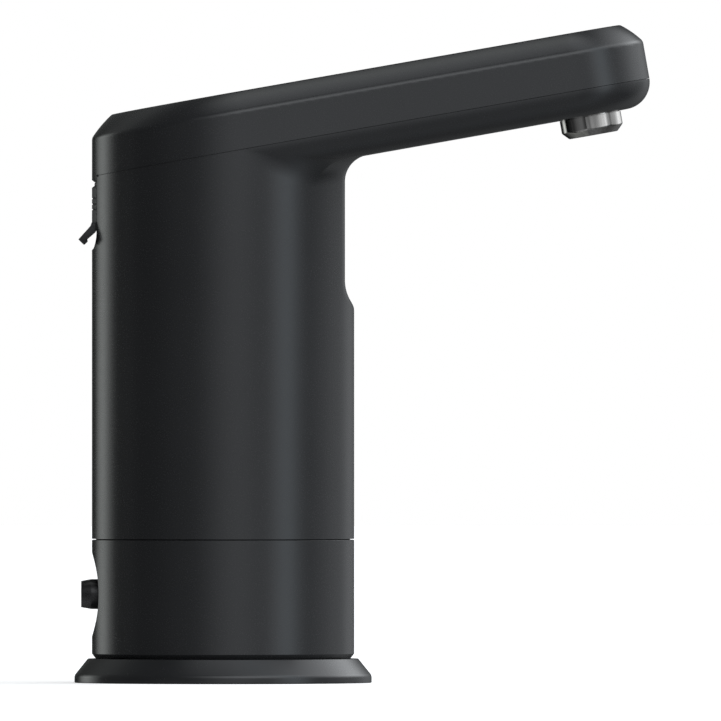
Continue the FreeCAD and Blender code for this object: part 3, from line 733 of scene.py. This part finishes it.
def flip_out(ob):
    bm = bmesh.new()
    bm.from_mesh(ob.data)
    bmesh.ops.recalc_face_normals(bm, faces=bm.faces)
    if bm.calc_volume(signed=True) < 0:
        bmesh.ops.reverse_faces(bm, faces=bm.faces)
    bm.to_mesh(ob.data)
    bm.free()


def tilt(ob, u=0.0):
    """Moves a piece made about the local axis into the seam frame at distance u."""
    m = Matrix.Translation(Vector(seam(0, 0, 0)) * MM) @ Matrix.Rotation(math.radians(-10), 4, "Y")
    ob.data.transform(m @ Matrix.Translation((u * MM, 0, 0)))
    return ob


def rounded(points, radius, n=4, skip=()):
    """Rounds the corners of a closed (r, h) outline with short arcs."""
    out, m = [], len(points)
    for i, p in enumerate(points):
        r = radius[i] if isinstance(radius, (list, tuple)) else radius
        if r <= 0 or i in skip:
            out.append(p)
            continue
        a, b, c = np.array(points[i - 1], float), np.array(p, float), np.array(points[(i + 1) % m], float)
        u, v = (a - b), (c - b)
        lu, lv = np.linalg.norm(u), np.linalg.norm(v)
        u, v = u / lu, v / lv
        half = math.acos(float(np.clip(np.dot(u, v), -1, 1))) / 2
        if half < 0.02 or abs(half - math.pi / 2) < 0.02:
            out.append(p)
            continue
        d = min(r / math.tan(half), 0.48 * lu, 0.48 * lv)
        rr = d * math.tan(half)
        centre = b + (u + v) / np.linalg.norm(u + v) * (rr / math.sin(half))
        s0, s1 = b + u * d - centre, b + v * d - centre
        t0, t1 = math.atan2(s0[1], s0[0]), math.atan2(s1[1], s1[0])
        dt = (t1 - t0 + math.pi) % (2 * math.pi) - math.pi
        for k in range(n + 1):
            t = t0 + dt * k / n
            out.append((centre[0] + rr * math.cos(t), centre[1] + rr * math.sin(t)))
    return out


def piece(ob, body, slot, *replaced, deg=28.0):
    mark_sharp(ob.data, deg)
    dress(ob, slot)
    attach(ob, body)
    if replaced:
        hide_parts(*replaced)
    return ob


# upper body: hollow it, trim it at the seam and at the lower case, then cut the port pocket and the outlet hole
inner_v, inner_q = surface_net(body_hollow, *body_box, 1.6)
boolean(upper, fast_mesh("inner", inner_v, inner_q))
backing = sector("backing", [(32.2, 126.7), (37.3, 126.7), (37.3, 150.0), (32.2, 150.0)], 158.6, 201.4, 24)
boolean(upper, backing, "UNION")
boolean(upper, half_space_box("above", -0.34, 90.0))
boolean(upper, block("below", -60, 140, -60, 60, 0, BODY_Z0))

POCKET_HALF, POCKET_Z0, POCKET_R = 10.75, 128.6, 37.65
sweep = [(POCKET_R + 13.6 - math.sqrt(13.6 ** 2 - (134.0 - z) ** 2), z)
         for z in (134.0, 133.4, 132.8, 132.2, 131.6, 131.0, 130.4, 129.8, 129.3)]
pocket = sector("pocket", [(POCKET_R, 160.0)] + sweep + [(38.62, 129.1), (39.1, POCKET_Z0), (46.0, POCKET_Z0), (46.0, 160.0)],
                155.0, 205.0, 60)
boolean(pocket, tongue_prism("mask", POCKET_HALF, POCKET_Z0 - 0.1, 160.4, 6.5, -60.0, -20.0, 20), "INTERSECT")
boolean(upper, pocket)
boolean(upper, stadium_prism("well", 12.6, 6.8, 142.2, -60.0, -34.0))
boolean(upper, stadium_prism("well", 9.5, 3.8, 142.2, -60.0, -30.0))
boolean(upper, block("slot", -40.0, -30.0, -9.05, 9.05, 149.35, 150.45))
for sy in (-1, 1):
    boolean(upper, lathe("relief", [(0, 10.3), (0.38, 10.3), (0.38, 12.5), (0, 12.5)], 24, axis=(0, sy, 0), at=(-37.2, 0, 150.78)))
hole = lathe("hole", [(0, -14.0), (9.6, -14.0), (9.6, -8.6), (9.35, -8.2), (9.0, -7.85), (9.0, 2.0), (0, 2.0)], 96)
boolean(upper, tilt(hole, AER_U))
tidy(upper)
field_normals(upper, body_field)
dress(upper, "body_black")
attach(upper, "tap")
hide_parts("body_shell")

# dark soft seal that closes the seam from inside
cover_seal = piece(rim_ring("cover_seal", 1.15, 1.8, -1.6, 0.9), "tap", "seal_rubber", deg=35)

# top cover: hollow, button hole with a broken edge, and the tongue that runs down to the flap's hinge
ci_v, ci_q = surface_net(cover_hollow, *cover_box, 1.6)
boolean(cap, fast_mesh("inner", ci_v, ci_q))
boolean(cap, half_space_box("below", -60.0, -0.215))
boolean(cap, rim_ring("rabbet", 1.08, 1.88, -1.0, 1.0))
opening = lathe("opening", [(0, 8.0), (14.2, 8.0), (14.2, 16.45), (14.26, 16.62), (14.42, 16.8), (14.66, 16.9), (14.8, 16.92),
                            (15.2, 17.4), (15.2, 20.0), (0, 20.0)], 128)
boolean(cap, tilt(opening, 3.0))
FLAP_HALF = 10.5
SPAN = math.degrees(math.asin(FLAP_HALF / BODY_R))
anchor = sector("tongue", rounded([(37.75, 148.92), (38.24, 148.92), (39.0, 149.52), (39.0, 151.6), (37.75, 151.6)],
                                  [0, 0.1, 0.14, 0, 0]), 180.0 - SPAN, 180.0 + SPAN, 30)
boolean(cap, anchor, "UNION")
boolean(cap, block("tail", -37.9, -31.4, -8.9, 8.9, 149.45, 150.4), "UNION")
for sy in (-1, 1):
    boolean(cap, lathe("relief", [(0, 10.3), (0.38, 10.3), (0.38, 12.5), (0, 12.5)], 24, axis=(0, sy, 0), at=(-37.2, 0, 150.78)))
tidy(cap)
field_normals(cap, cover_field)
dress(cap, "body_black")
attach(cap, "tap")
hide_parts("top_cover", "flap_anchor")

# port flap: curved strip with three grip lines, hinge groove above, turned-out pull tab below, plug ring inside
def soften(ob, width, deg=30.0, segments=2):
    bm = bmesh.new()
    bm.from_mesh(ob.data)
    bmesh.ops.remove_doubles(bm, verts=bm.verts, dist=0.003 * MM)
    bmesh.ops.dissolve_limit(bm, angle_limit=math.radians(0.5), verts=bm.verts, edges=bm.edges)
    lim = math.radians(deg)
    edges = [e for e in bm.edges if len(e.link_faces) == 2 and e.calc_face_angle(0.0) > lim]
    bmesh.ops.bevel(bm, geom=edges, offset=width * MM, segments=segments, profile=0.5, affect="EDGES", clamp_overlap=True)
    bmesh.ops.recalc_face_normals(bm, faces=bm.faces)
    bm.to_mesh(ob.data)
    bm.free()
    return ob


def merge(name, objects):
    bm = bmesh.new()
    for ob in objects:
        bm.from_mesh(ob.data)
        data = ob.data
        bpy.data.objects.remove(ob)
        bpy.data.meshes.remove(data)
    me = bpy.data.meshes.new(name)
    bm.to_mesh(me)
    bm.free()
    ob = bpy.data.objects.new(name, me)
    scene.collection.objects.link(ob)
    return ob


def soft_sector(name, points, half_deg, n, edge, steps=4):
    """Curved strip about Z centred on the rear, its ends rolled over by the edge radius."""
    pts = np.array(points, float)
    d0 = pts - np.roll(pts, 1, 0)
    d1 = np.roll(pts, -1, 0) - pts
    n0 = np.stack([d0[:, 1], -d0[:, 0]], -1) / np.maximum(np.linalg.norm(d0, axis=1, keepdims=True), 1e-9)
    n1 = np.stack([d1[:, 1], -d1[:, 0]], -1) / np.maximum(np.linalg.norm(d1, axis=1, keepdims=True), 1e-9)
    area = 0.5 * np.sum(pts[:, 0] * np.roll(pts[:, 1], -1) - np.roll(pts[:, 0], -1) * pts[:, 1])
    nn = n0 + n1
    nn /= np.maximum(np.linalg.norm(nn, axis=1, keepdims=True), 1e-9)
    nn *= 1.0 if area > 0 else -1.0
    full = math.radians(half_deg) - edge / 39.0
    mid = [(-full + 2 * full * k / n, 0.0) for k in range(n + 1)]
    rows = [(-math.radians(half_deg) + edge * (1 - math.cos(math.pi / 2 * k / steps)) / 39.0,
             edge * (1 - math.sin(math.pi / 2 * k / steps))) for k in range(steps)]
    rows = rows + mid + [(-a, o) for a, o in rows[::-1]]
    verts, faces, m = [], [], len(pts)
    for a, o in rows:
        q = pts - nn * o
        verts += [(-r * math.cos(a), r * math.sin(a), h) for r, h in q]
    for k in range(len(rows) - 1):
        for i in range(m):
            i2 = (i + 1) % m
            faces.append((k * m + i, k * m + i2, (k + 1) * m + i2, (k + 1) * m + i))
    faces.append(tuple(range(m - 1, -1, -1)))
    faces.append(tuple(range((len(rows) - 1) * m, len(rows) * m)))
    ob = make_mesh(name, verts, faces)
    flip_out(ob)
    return ob


grip = []
for z in (144.05, 142.36, 140.75):
    grip += [(39.0, z + 0.27), (38.93, z + 0.17), (38.78, z + 0.09), (38.73, z), (38.78, z - 0.09), (38.93, z - 0.17), (39.0, z - 0.27)]
strip_line = rounded([(37.75, 148.85), (38.13, 148.85), (38.13, 148.62), (38.24, 148.45), (38.24, 147.77), (39.0, 147.25)] + grip
                     + [(39.0, 134.4), (37.75, 134.4)], [0.1, 0.04, 0, 0, 0.14, 0.14] + [0] * len(grip) + [0.1, 0.1])
strip = soft_sector("strip", strip_line, SPAN, 30, 0.18)
tab_line = rounded([(-38.2, 136.95), (-39.03, 136.9), (-39.15, 136.45), (-39.33, 136.0), (-39.55, 135.66), (-39.8, 135.37),
                    (-42.97, 131.85), (-41.36, 130.24), (-40.27, 131.3), (-40.45, 131.92), (-37.95, 134.1), (-37.85, 134.6),
                    (-37.85, 136.95)], [0, 0, 0, 0, 0, 0, 0.14, 0.2, 0.25, 0.2, 0.6, 0.4, 0], 6)
tab = prism("tab", [(x, -15.0, z) for x, z in tab_line], (0, 1, 0), 30.0)
boolean(tab, tongue_prism("mask", 9.3, 130.0, 140.0, 3.6, -60.0, -30.0, 14), "INTERSECT")
soften(tab, 0.13, 40.0)
plug = stadium_prism("plug", 11.9, 6.1, 142.2, -37.9, -36.3, 24)
boolean(plug, stadium_prism("cut", 9.9, 4.1, 142.2, -38.5, -36.0, 24))
soften(plug, 0.12, 40.0)
piece(merge("port_flap_skin", [strip, tab, plug]), "flap", "flap_rubber", "port_flap", deg=32)

# push button: shallow dish, soft edge
dish = [(r, 16.2 + (120.0 - math.sqrt(120.0 ** 2 - r ** 2))) for r in (0.0, 2.0, 4.0, 6.0, 8.0, 10.0, 11.0, 11.49)]
button = lathe("push_button_skin", dish + [(12.2, 16.757), (12.9, 16.76), (13.35, 16.70), (13.68, 16.53), (13.85, 16.25), (13.9, 15.9),
                                           (13.9, 14.1), (15.4, 14.1), (15.4, 12.9), (2.0, 12.9), (2.0, 8.2), (0.0, 8.2)], 160)
piece(tilt(button, 3.0), "button", "base_black", "push_button")

# lower case: band with a broken lower edge, cup for the hose, and the screw posts inside
case_outline = rounded([(36.5, 7.3), (37.9, 7.3), (39.0, 8.7), (39.0, 42.55), (37.85, 42.55), (37.85, 41.6), (36.3, 41.6),
                        (36.3, 47.0), (34.4, 47.0), (34.4, 38.5), (36.5, 36.4)],
                       [0.2, 0.25, 0.5, 0.14, 0.1, 0, 0, 0.2, 0.2, 0, 0])
case = lathe("lower_case_skin", case_outline, 256)
cup = lathe("cup", [(0, -37.6), (14.3, -37.6), (14.3, -31.0), (0, -31.0)], 96, axis=(1, 0, 0), at=(0, 0, 26.3))
boolean(cup, lathe("mask", [(0, 0), (38.2, 0), (38.2, 60), (0, 60)], 160), "INTERSECT")
boolean(case, cup, "UNION")
for deg in (50, 130, 230, 310):
    px, py = 30.5 * math.cos(math.radians(deg)), 30.5 * math.sin(math.radians(deg))
    rib = block("rib", 30.5, 37.2, -1.2, 1.2, 11.5, 33.2)
    rib.data.transform(Matrix.Rotation(math.radians(deg), 4, "Z"))
    boolean(case, rib, "UNION")
    boolean(case, lathe("post", [(0, 10.6), (3.5, 10.6), (3.5, 33.2), (0, 33.2)], 48, at=(px, py, 0)), "UNION")
    boolean(case, lathe("drill", [(0, 9.0), (1.2, 9.0), (1.2, 22.0), (0, 22.0)], 24, at=(px, py, 0)))


def recess_cutter(radius, zc, floor_x, n=160, lip=0.32):
    """Round recess square to X whose mouth on the round wall has an evenly rounded rim."""
    verts = [(floor_x, 0, zc)]
    arc = [(lip * (1 - math.cos(t)), lip * (1 - math.sin(t))) for t in np.linspace(0, math.pi / 2 * 0.98, 6)]
    rings = []
    for b in np.linspace(0, 2 * math.pi, n, endpoint=False):
        col = [(floor_x, radius)]
        for grow, back_off in arc:
            r = radius + grow
            y = r * math.sin(b)
            xs = -math.sqrt(BODY_R ** 2 - y * y)
            col.append((xs + back_off, r))
        col.append((-52.0, radius + lip * 1.3))
        rings.append([(x, r * math.sin(b), zc + r * math.cos(b)) for x, r in col])
    m = len(rings[0])
    for c in rings:
        verts += c
    verts.append((-52.0, 0, zc))
    faces = []
    for k in range(n):
        k2 = (k + 1) % n
        a, b = 1 + k * m, 1 + k2 * m
        faces.append((0, a, b))
        for i in range(m - 1):
            faces.append((a + i, a + i + 1, b + i + 1, b + i))
        faces.append((len(verts) - 1, b + m - 1, a + m - 1))
    ob = make_mesh("recess", verts, faces)
    flip_out(ob)
    return ob


boolean(case, recess_cutter(12.3, 26.3, -33.0))
boolean(case, lathe("bore", [(0, -45), (4.6, -45), (4.6, -28), (0, -28)], 64, axis=(1, 0, 0), at=(0, 0, 26.4)))
tidy(case)


def case_field(x, y, z):
    return np.hypot(x, y) - BODY_R


field_normals(case, case_field)
dress(case, "body_black")
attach(case, "tap")
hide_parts("lower_case")

# base: flared foot
base_outline = rounded([(42.0, 0.06), (44.2, 0.06), (44.2, 2.25), (40.2, 7.23), (34.6, 7.23), (34.6, 3.8), (5.0, 3.8),
                        (5.0, 1.55), (42.0, 1.55)],
                       [0.1, 0.22, 1.8, 0.45, 0.15, 0.2, 0.1, 0.1, 0], 8)
base = lathe("base_plate_skin", base_outline, 256)
piece(base, "base", "base_black", "base_plate", deg=35)

# hose spigot: convex taper, thin rim, stepped bore
spigot_outline = rounded([(2.6, -42.2), (3.92, -42.2), (4.45, -39.2), (4.475, -35.1), (4.15, -35.1), (4.15, -30.0), (7.9, -30.0),
                          (7.9, -28.2), (2.6, -28.2), (2.1, -27.4), (2.1, -20.0), (1.3, -20.0), (1.3, -31.0), (2.6, -32.0)],
                         [0.25, 0.12, 2.4, 0.1, 0, 0, 0.2, 0.2, 0, 0, 0, 0, 0, 0], 6)
spigot = lathe("inlet_spigot_skin", spigot_outline, 96, axis=(1, 0, 0), at=(0, 0, 26.4))
piece(spigot, "tap", "spigot_plastic", "inlet_spigot", deg=40)

# aerator: eight slightly convex faces, coned lower edge, threaded neck hidden in the spout
seg = 8 * 24
corner_r, mid_r = 9.32, 8.99
chord = 2 * corner_r * math.sin(math.radians(22.5))
apothem = corner_r * math.cos(math.radians(22.5))
rise = mid_r - apothem
face_r = (chord * chord / 4 + rise * rise) / (2 * rise)


def barrel_radius(k):
    """Radius at step k of the faceted barrel: circle arcs through neighbouring corners."""
    t = math.radians(360.0 * (k % 24) / seg - 22.5)
    c = mid_r - face_r
    return c * math.cos(t) + math.sqrt(face_r ** 2 - (c * math.sin(t)) ** 2)


levels = [-14.0, -13.96, -13.9, -13.6, -13.2, -12.8, -12.6, -12.45, -12.3, -12.2, -12.1, -12.0, -11.9, -11.8, -11.7, -11.5, -10.5, -9.5, -8.7,
          -8.3, -8.25]
verts, faces = [], []
for w in levels:
    for k in range(seg):
        a = math.radians(FACET_0 + 360.0 * k / seg)
        full = barrel_radius(k)
        cone = {-14.0: 7.17, -13.96: 7.24}.get(w, 7.26 + (w + 14.0))
        r = -smooth_max(-full, -cone, 0.22) if w < -11.4 else full
        if w > -8.28:
            r = full - 0.07
        verts.append((float(r) * math.sin(a), -float(r) * math.cos(a), w))
m = len(levels)
for i in range(m - 1):
    for k in range(seg):
        k2 = (k + 1) % seg
        faces.append((i * seg + k, i * seg + k2, (i + 1) * seg + k2, (i + 1) * seg + k))
tail = [(8.8, -8.25), (8.8, -6.4), (7.65, -6.4), (7.65, -1.6), (6.7, -1.6), (6.7, -12.9), (6.62, -12.98), (6.24, -13.36), (6.2, -13.42),
        (6.2, -13.9), (6.28, -14.0)]
prev = (m - 1) * seg
for r, w in tail:
    cur = len(verts)
    for k in range(seg):
        a = math.radians(FACET_0 + 360.0 * k / seg)
        verts.append((r * math.sin(a), -r * math.cos(a), w))
    for k in range(seg):
        k2 = (k + 1) % seg
        faces.append((prev + k, prev + k2, cur + k2, cur + k))
    prev = cur
for k in range(seg):
    k2 = (k + 1) % seg
    faces.append((prev + k, prev + k2, k2, k))
aer = make_mesh("aerator_body_skin", verts, faces)
flip_out(aer)
piece(tilt(aer, AER_U), "tap", "aerator_metal", "aerator_body", deg=14)

# ------------------------------------------------------------------ stage
floor = make_mesh("floor", [(-9000, -9000, 0), (9000, -9000, 0), (9000, 9000, 0), (-9000, 9000, 0)], [(0, 1, 2, 3)])
fm, fnt, fp = principled("floor_pale")
fp.inputs["Base Color"].default_value = (0.86, 0.86, 0.86, 1)
fp.inputs["Roughness"].default_value = 0.9
fp.inputs["Specular IOR Level"].default_value = 0.0
fp.inputs["Emission Color"].default_value = (1, 1, 1, 1)
fp.inputs["Emission Strength"].default_value = 0.55
floor.data.materials.append(fm)
floor.visible_glossy = False
floor.visible_diffuse = False

world = bpy.data.worlds.new("studio")
scene.world = world
world.use_nodes = True
wn = world.node_tree
wn.nodes.clear()


def wmath(op, a, b=None):
    n = wn.nodes.new("ShaderNodeMath")
    n.operation = op
    for k, v in enumerate((a, b)):
        if v is None:
            continue
        if isinstance(v, (int, float)):
            n.inputs[k].default_value = v
        else:
            wn.links.new(v, n.inputs[k])
    return n.outputs[0]


def curve(value, points):
    """Straight runs between (position 0..1, height 0..1) points."""
    n = wn.nodes.new("ShaderNodeFloatCurve")
    c = n.mapping.curves[0]
    while len(c.points) < len(points):
        c.points.new(0.5, 0.5)
    for q, (px, py) in zip(c.points, points):
        q.location = (px, py)
        q.handle_type = "VECTOR"
    n.mapping.update()
    wn.links.new(value, n.inputs["Value"])
    return n.outputs[0]


w_tc = wn.nodes.new("ShaderNodeTexCoord")
w_sep = wn.nodes.new("ShaderNodeSeparateXYZ")
wn.links.new(w_tc.outputs["Generated"], w_sep.inputs[0])
# azimuth: 0 is the viewer's side, +90 the spout's side
w_az = wmath("ADD", wmath("DIVIDE", wmath("ARCTAN2", w_sep.outputs[0], wmath("MULTIPLY", w_sep.outputs[1], -1.0)), 2 * math.pi), 0.5)
w_el = wmath("ADD", wmath("DIVIDE", wmath("ARCSINE", w_sep.outputs[2]), math.pi), 0.5)


def el_at(deg):
    return deg / 180.0 + 0.5


BANDS = {
    "floor": [(0, 1), (el_at(-60), 1), (el_at(-25), 0), (1, 0)],
    "low": [(0, 0), (el_at(-60), 0), (el_at(-25), 1), (el_at(5), 0), (1, 0)],
    "side": [(0, 0), (el_at(-25), 0), (el_at(5), 1), (el_at(25), 0), (1, 0)],
    "mid": [(0, 0), (el_at(5), 0), (el_at(25), 1), (el_at(45), 0), (1, 0)],
    "high": [(0, 0), (el_at(25), 0), (el_at(45), 1), (el_at(68), 0), (1, 0)],
    "top": [(0, 0), (el_at(45), 0), (el_at(68), 1), (el_at(82), 0), (1, 0)],
    "zenith": [(0, 0), (el_at(68), 0), (el_at(82), 1), (1, 1)],
}
STUDIO = {
    "floor": [0.22, 0.32, 0.42, 0.52, 0.61, 0.6, 0.46, 0.31, 0.27, 0.23, 0.18, 0.17],
    "low": [0.06, 0, 0.03, 0.35, 0.22, 0.09, 0.17, 0.22, 0.24, 0.22, 0.26, 0.37, 0.44, 0.32, 0.07, 0.2, 0.51, 0.15,
             0.05, 0.04, 0.11, 0.27, 0.23, 0.13],
    "side": [0.11, 0.12, 0, 0, 1.02, 1.83, 0.81, 0, 0.11, 0.13, 0.01, 0, 0, 0.04, 0.08, 0.06, 0.1, 0.32, 0.58, 0.76,
             0.72, 0.47, 0.48, 1.38, 1.78, 0.61, 0.13, 0.35, 0.45, 0.57, 0.5, 0.44, 0.57, 0.46, 0.26, 0.1],
    "mid": [0, 0.09, 0.12, 0.09, 0.16, 0.22, 0.19, 0.15, 0.12, 0.1, 0.09, 0.08, 0.05, 0, 0, 0.13, 0.49, 1.11, 1.82,
             2.35, 2.47, 2.3, 2.05, 1.79, 1.48, 1.17, 1.08, 1.37, 2.02, 2.8, 3.38, 3.46, 2.88, 1.67, 0.45, 0],
    "high": [0.03, 0.09, 0.24, 0.29, 0.13, 0.03, 0.01, 0, 0, 0.06, 0.32, 0.79, 1.34, 1.73, 1.91, 2.02, 2.11, 2.18,
             2.17, 2.08, 1.89, 1.48, 0.76, 0.2],
    "top": [0, 0.01, 0, 0, 0, 0, 0.06, 0.47, 0.81, 0.69, 0.25, 0],
    "zenith": [1.59, 1.03, 1, 1.39],
}
w_total = None
band_nodes = {}
for band, strengths in STUDIO.items():
    peak = max(max(strengths), 1e-4)
    ring_points = [v / peak for v in strengths] + [strengths[0] / peak]
    az_part = curve(w_az, [(k / len(strengths), v) for k, v in enumerate(ring_points)])
    el_part = curve(w_el, BANDS[band])
    part = wmath("MULTIPLY", wmath("MULTIPLY", az_part, el_part), peak)
    band_nodes[band] = (az_part.node, part.node)
    w_total = part if w_total is None else wmath("ADD", w_total, part)
w_light = wn.nodes.new("ShaderNodeBackground")
w_tint = wn.nodes.new("ShaderNodeValToRGB")
TINT = [(-180, (0.955, 1.0, 0.975)), (-100, (0.955, 1.0, 0.985)), (-85, (0.935, 0.965, 1.0)), (46, (0.935, 0.965, 1.0)),
        (53, (0.84, 0.93, 1.0)), (67, (0.85, 0.94, 1.0)), (76, (0.935, 0.965, 1.0)), (180, (0.945, 0.975, 1.0))]
while len(w_tint.color_ramp.elements) < len(TINT):
    w_tint.color_ramp.elements.new(0.5)
for q, (deg, colour) in zip(w_tint.color_ramp.elements, TINT):
    q.position = deg / 360.0 + 0.5
    q.color = (*colour, 1)
wn.links.new(w_az, w_tint.inputs[0])
wn.links.new(w_tint.outputs[0], w_light.inputs["Color"])
wn.links.new(w_total, w_light.inputs["Strength"])
w_back = wn.nodes.new("ShaderNodeBackground")
w_back.inputs["Color"].default_value = (1, 1, 1, 1)
w_path = wn.nodes.new("ShaderNodeLightPath")
w_mix = wn.nodes.new("ShaderNodeMixShader")
wn.links.new(w_path.outputs["Is Camera Ray"], w_mix.inputs[0])
wn.links.new(w_light.outputs[0], w_mix.inputs[1])
wn.links.new(w_back.outputs[0], w_mix.inputs[2])
w_out = wn.nodes.new("ShaderNodeOutputWorld")
wn.links.new(w_mix.outputs[0], w_out.inputs[0])

scene.view_settings.view_transform = "Standard"
